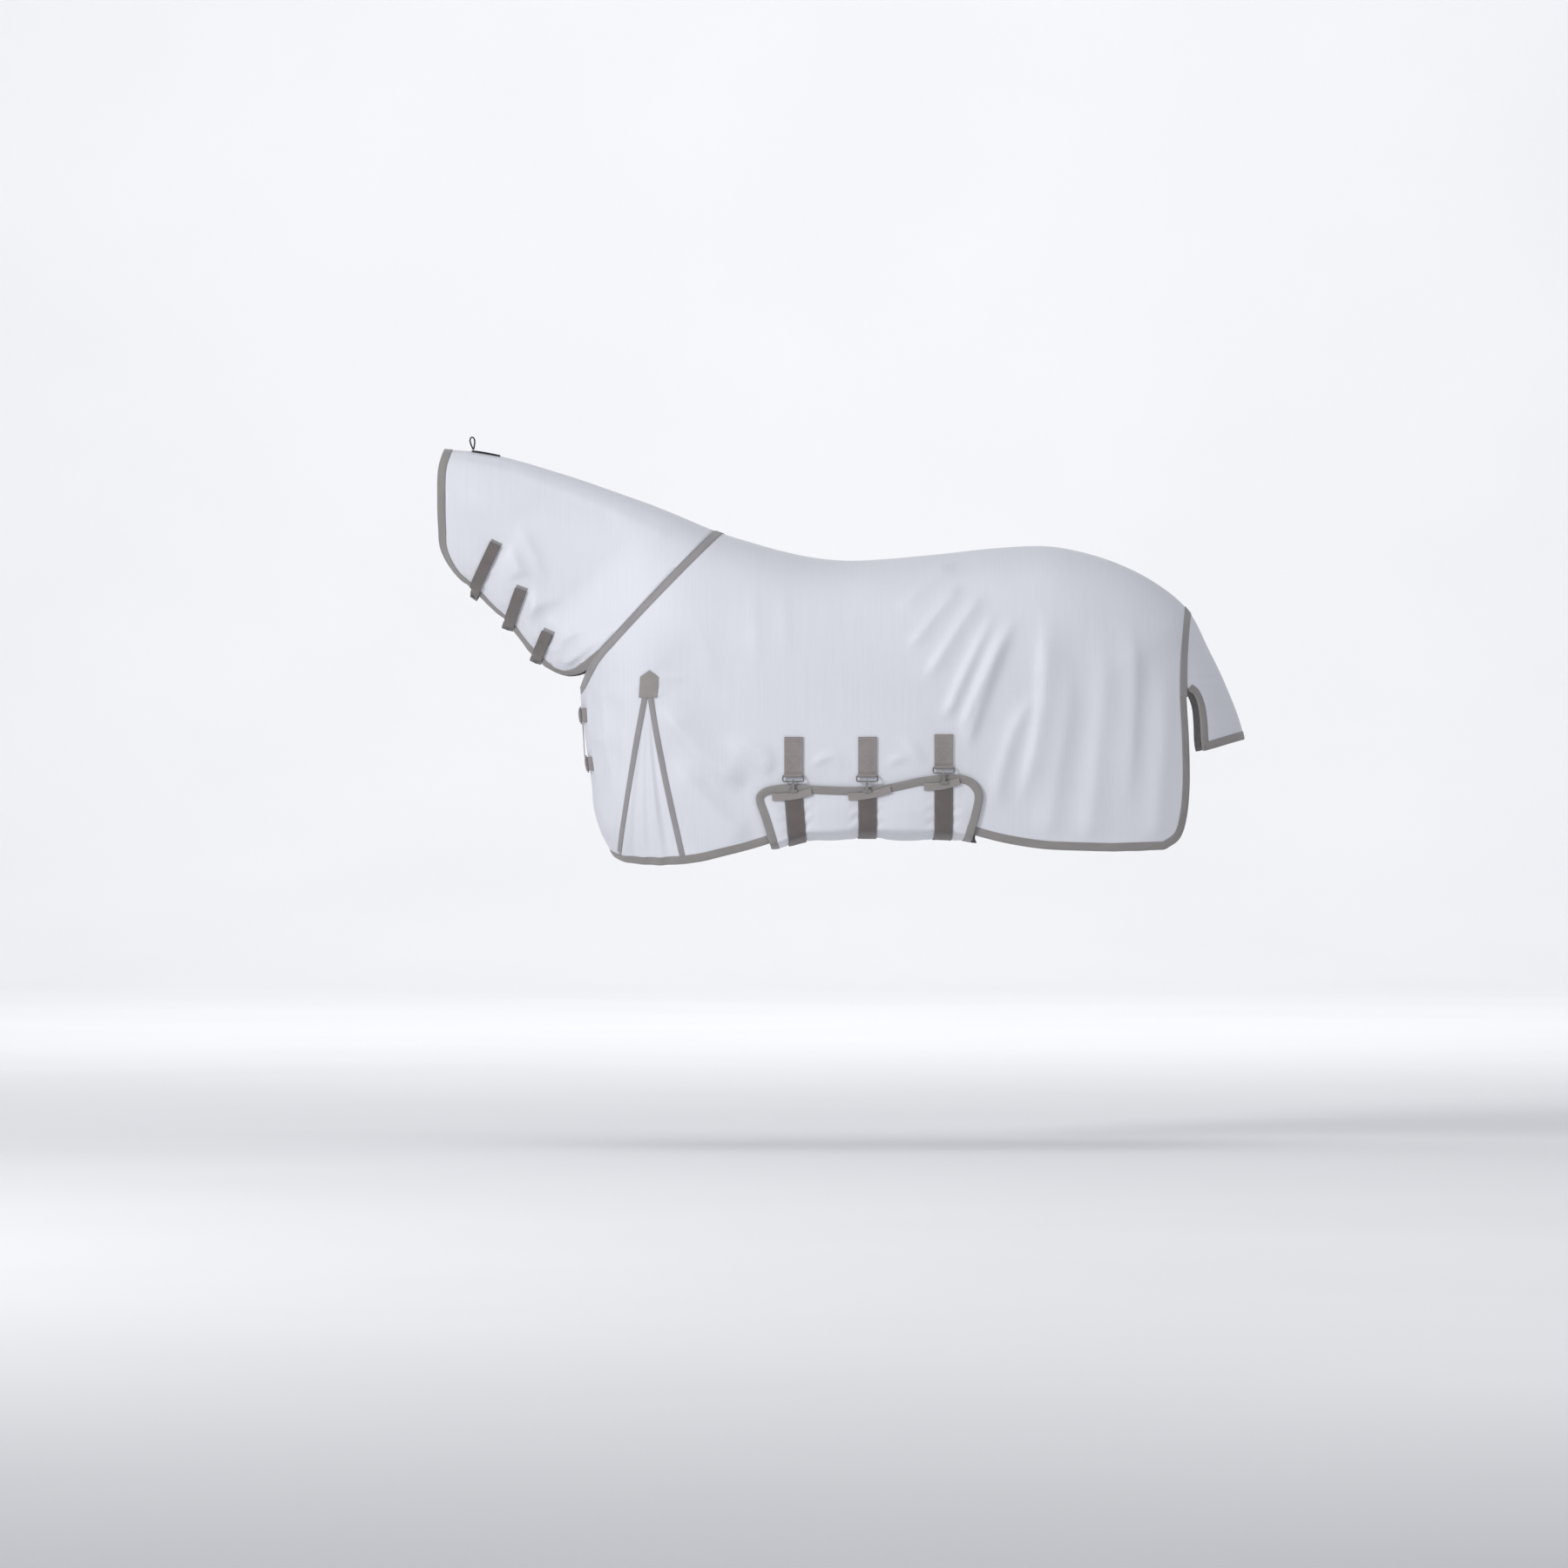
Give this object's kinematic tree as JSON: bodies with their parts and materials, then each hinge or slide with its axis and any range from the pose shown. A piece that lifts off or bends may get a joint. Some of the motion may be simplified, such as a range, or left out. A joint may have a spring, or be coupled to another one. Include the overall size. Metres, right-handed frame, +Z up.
{
  "type": "fly sheet",
  "caption": "Full-body horse fly sheet with sewn-on neck cover, shoulder gussets, belly flap on hooked surcingles, chest straps and tail flap.",
  "frame": {"origin": "on the centre plane at the withers, at the top end of the seam between neck cover and body", "axes": "+X to the tail (the horse faces -X), +Y to the off side (right), +Z up"},
  "size_m": [2.1881, 0.6867, 1.1752],
  "materials": {
    "cloth": "smooth light mesh cloth",
    "binding": "ribbed grey binding tape",
    "webbing": "woven grey webbing",
    "metal": "plated steel wire and plate",
    "elastic": "black elastic and hook tape"
  },
  "bodies": {
    "rug": {"belly_flap_seam": "binding", "body_panel_left": "cloth", "body_panel_right": "cloth", "chest_buckle_lower": "metal", "chest_buckle_upper": "metal", "chest_tab_lower": "webbing", "chest_tab_upper": "webbing", "gusset_binding_left": "binding", "gusset_binding_right": "binding", "gusset_left": "cloth", "gusset_patch_left": "binding", "gusset_patch_right": "binding", "gusset_right": "cloth", "hem_binding_left": "binding", "hem_binding_right": "binding", "neck_binding_left": "binding", "neck_binding_right": "binding", "neck_panel_left": "cloth", "neck_panel_right": "cloth", "neck_strap_anchor_1": "webbing", "neck_strap_anchor_2": "webbing", "neck_strap_anchor_3": "webbing", "neck_strap_patch_1": "binding", "neck_strap_patch_2": "binding", "neck_strap_patch_3": "binding", "poll_strap": "elastic", "shoulder_binding_left": "binding", "shoulder_binding_right": "binding", "surcingle_tab_1": "webbing", "surcingle_tab_2": "webbing", "surcingle_tab_3": "webbing", "tail_seam_binding_left": "binding", "tail_seam_binding_right": "binding"},
    "tail_flap": {"tail_flap": "cloth", "tail_flap_binding": "binding"},
    "belly_flap": {"belly_flap": "cloth", "belly_flap_binding": "binding", "belly_strap_1": "webbing", "belly_strap_2": "webbing", "belly_strap_3": "webbing", "hook_guard_1": "binding", "hook_guard_2": "binding", "hook_guard_3": "binding"},
    "chest_strap_upper": {"chest_strap_upper": "webbing", "chest_hook_upper": "metal"},
    "chest_strap_lower": {"chest_strap_lower": "webbing", "chest_hook_lower": "metal"},
    "chest_tail": {"chest_strap_tail": "webbing"},
    "poll_loop": {"poll_loop": "elastic"},
    "neck_strap_1": {"neck_strap_1": "webbing"},
    "buckle_frame_1": {"buckle_frame_1": "metal"},
    "hook_1": {"hook_1": "metal"},
    "neck_strap_2": {"neck_strap_2": "webbing"},
    "buckle_frame_2": {"buckle_frame_2": "metal"},
    "hook_2": {"hook_2": "metal"},
    "neck_strap_3": {"neck_strap_3": "webbing"},
    "buckle_frame_3": {"buckle_frame_3": "metal"},
    "hook_3": {"hook_3": "metal"}
  },
  "joints": [
    {"name": "tail_flap_lift", "type": "hinge", "parent": "rug", "child": "tail_flap", "pos_m": [1.3012, 0, -0.219], "axis": [0, -1, 0], "range_deg": [0, 40]},
    {"name": "belly_flap_drop", "type": "hinge", "parent": "rug", "child": "belly_flap", "pos_m": [0.42, 0.32779, -0.77], "axis": [1, 0, 0], "range_deg": [0, 75]},
    {"name": "neck_strap_1_peel", "type": "hinge", "parent": "rug", "child": "neck_strap_1", "pos_m": [-0.65983, 0.03194, -0.16634], "axis": [0.4781, 0.6639, -0.575], "range_deg": [0, 70]},
    {"name": "neck_strap_2_peel", "type": "hinge", "parent": "rug", "child": "neck_strap_2", "pos_m": [-0.56458, 0.05384, -0.25529], "axis": [0.5468, 0.8195, -0.1713], "range_deg": [0, 70]},
    {"name": "neck_strap_3_peel", "type": "hinge", "parent": "rug", "child": "neck_strap_3", "pos_m": [-0.48734, 0.06639, -0.34612], "axis": [0.5796, 0.7823, -0.2282], "range_deg": [0, 70]},
    {"name": "chest_strap_upper_open", "type": "hinge", "parent": "rug", "child": "chest_strap_upper", "pos_m": [-0.35229, 0.10075, -0.503], "axis": [0.0635, 0, -0.998], "range_deg": [0, 80]},
    {"name": "chest_strap_lower_open", "type": "hinge", "parent": "rug", "child": "chest_strap_lower", "pos_m": [-0.33536, 0.10069, -0.636], "axis": [0.1393, 0, -0.9903], "range_deg": [0, 80]},
    {"name": "chest_tail_swing", "type": "hinge", "parent": "chest_strap_upper", "child": "chest_tail", "pos_m": [-0.36424, 0.03113, -0.52496], "axis": [0, 1, 0], "range_deg": [0, 45]},
    {"name": "buckle_frame_1_swing", "type": "hinge", "parent": "rug", "child": "buckle_frame_1", "pos_m": [0.21422, -0.31712, -0.66904], "axis": [-0.9963, 0.086, 0], "range_deg": [0, 60]},
    {"name": "hook_1_swing", "type": "hinge", "parent": "buckle_frame_1", "child": "hook_1", "pos_m": [0.21391, -0.32076, -0.68455], "axis": [-0.9963, 0.086, 0], "range_deg": [0, 60]},
    {"name": "buckle_frame_2_swing", "type": "hinge", "parent": "rug", "child": "buckle_frame_2", "pos_m": [0.41433, -0.33308, -0.66911], "axis": [-0.9973, 0.074, 0], "range_deg": [0, 60]},
    {"name": "hook_2_swing", "type": "hinge", "parent": "buckle_frame_2", "child": "hook_2", "pos_m": [0.41407, -0.33659, -0.68466], "axis": [-0.9973, 0.074, 0], "range_deg": [0, 60]},
    {"name": "buckle_frame_3_swing", "type": "hinge", "parent": "rug", "child": "buckle_frame_3", "pos_m": [0.62105, -0.33898, -0.64655], "axis": [-1, -0.0058, 0], "range_deg": [0, 60]},
    {"name": "hook_3_swing", "type": "hinge", "parent": "buckle_frame_3", "child": "hook_3", "pos_m": [0.62108, -0.34347, -0.66184], "axis": [-1, -0.0058, 0], "range_deg": [0, 60]},
    {"name": "poll_loop_fold", "type": "hinge", "parent": "rug", "child": "poll_loop", "pos_m": [-0.6631, 0, 0.22622], "axis": [0, 1, 0], "range_deg": [-40, 55]}
  ]
}
